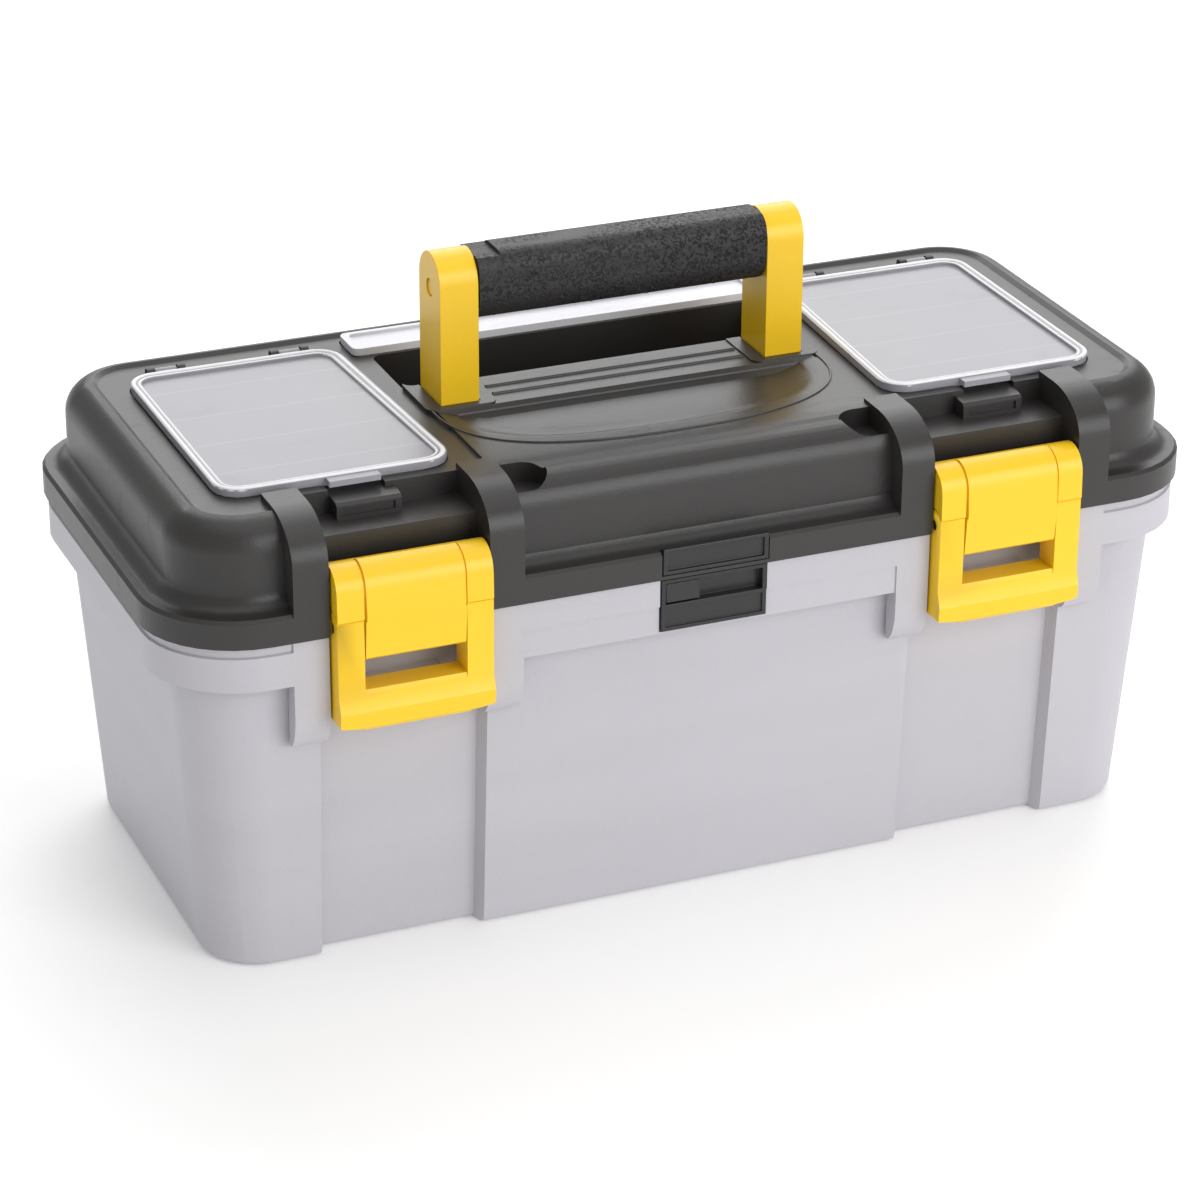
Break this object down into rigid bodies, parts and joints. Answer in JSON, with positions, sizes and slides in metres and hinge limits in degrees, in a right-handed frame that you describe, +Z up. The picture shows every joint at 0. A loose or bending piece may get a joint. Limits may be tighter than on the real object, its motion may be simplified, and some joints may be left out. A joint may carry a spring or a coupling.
{
  "type": "toolbox with tray",
  "caption": "Plastic toolbox with a hinged lid, draw latches, a folding carry handle, organiser bins under clear covers and a lift-out tray.",
  "frame": {"origin": "middle of the box's outline, on the ground under the tub", "axes": "+X to the right seen from the latches, along the length; -Y is the front with the latches; +Z up"},
  "size_m": [0.406, 0.202, 0.232],
  "materials": {
    "grey_plastic": "light grey moulded plastic, satin",
    "charcoal_plastic": "charcoal moulded plastic, fine satin grain",
    "yellow_plastic": "yellow moulded plastic, semi-gloss",
    "soft_grip": "soft dark grip with a speckled texture",
    "frosted_plastic": "frosted clear plastic",
    "bin_plastic": "light grey moulded plastic, satin",
    "steel": "plain steel"
  },
  "bodies": {
    "base": {"tub": "grey_plastic", "tub_hasp": "charcoal_plastic", "hinge_pin_left": "steel", "hinge_pin_right": "steel"},
    "lid": {"lid": "charcoal_plastic", "lid_hasp": "charcoal_plastic", "organiser_bin_left": "bin_plastic", "organiser_bin_right": "bin_plastic", "rear_bin": "bin_plastic", "latch_pin_left": "steel", "latch_pin_right": "steel", "handle_pin_left": "steel", "handle_pin_right": "steel"},
    "latch_left": {"latch_link_left": "yellow_plastic", "lever_pin_left": "steel"},
    "lever_left": {"latch_lever_left": "yellow_plastic"},
    "cover_left": {"organiser_cover_left": "frosted_plastic"},
    "latch_right": {"latch_link_right": "yellow_plastic", "lever_pin_right": "steel"},
    "lever_right": {"latch_lever_right": "yellow_plastic"},
    "cover_right": {"organiser_cover_right": "frosted_plastic"},
    "cover_rear": {"rear_cover": "frosted_plastic"},
    "handle": {"handle_post_left": "yellow_plastic", "handle_post_right": "yellow_plastic", "handle_core": "charcoal_plastic", "handle_grip": "soft_grip", "handle_screw_left": "yellow_plastic", "handle_screw_right": "yellow_plastic"},
    "tray": {"tray": "charcoal_plastic", "tray_divider_front_left": "bin_plastic", "tray_divider_front_right": "bin_plastic", "tray_divider_rear_left": "bin_plastic", "tray_divider_rear_right": "bin_plastic"}
  },
  "joints": [
    {"name": "lid_hinge", "type": "hinge", "parent": "base", "child": "lid", "pos_m": [0, 0.0965, 0.134], "axis": [-1, 0, 0], "range_deg": [0, 105]},
    {"name": "latch_hinge_left", "type": "hinge", "parent": "lid", "child": "latch_left", "pos_m": [-0.1155, -0.0902, 0.1508], "axis": [-1, 0, 0], "range_deg": [0, 95]},
    {"name": "lever_hinge_left", "type": "hinge", "parent": "latch_left", "child": "lever_left", "pos_m": [-0.1155, -0.0937, 0.1374], "axis": [-1, 0, 0], "range_deg": [0, 34]},
    {"name": "cover_hinge_left", "type": "hinge", "parent": "lid", "child": "cover_left", "pos_m": [-0.13075, 0.06, 0.1765], "axis": [-1, 0, 0], "range_deg": [0, 100]},
    {"name": "latch_hinge_right", "type": "hinge", "parent": "lid", "child": "latch_right", "pos_m": [0.1155, -0.0902, 0.1508], "axis": [-1, 0, 0], "range_deg": [0, 95]},
    {"name": "lever_hinge_right", "type": "hinge", "parent": "latch_right", "child": "lever_right", "pos_m": [0.1155, -0.0937, 0.1374], "axis": [-1, 0, 0], "range_deg": [0, 34]},
    {"name": "cover_hinge_right", "type": "hinge", "parent": "lid", "child": "cover_right", "pos_m": [0.13075, 0.06, 0.1765], "axis": [-1, 0, 0], "range_deg": [0, 100]},
    {"name": "rear_cover_hinge", "type": "hinge", "parent": "lid", "child": "cover_rear", "pos_m": [0, 0.0717, 0.1765], "axis": [-1, 0, 0], "range_deg": [0, 95]},
    {"name": "handle_fold", "type": "hinge", "parent": "lid", "child": "handle", "pos_m": [0, 0.0015, 0.1722], "axis": [-1, 0, 0], "range_deg": [0, 68]},
    {"name": "tray_lift", "type": "slide", "parent": "base", "child": "tray", "axis": [0, 0, 1], "range_m": [0, 0.0917]}
  ],
  "couplings": [
    {"joint": "lever_hinge_left", "follows": "latch_hinge_left", "ratio": 0.35},
    {"joint": "lever_hinge_right", "follows": "latch_hinge_right", "ratio": 0.35},
    {"joint": "tray_lift", "follows": "lid_hinge", "m_per_rad": 0.05}
  ]
}
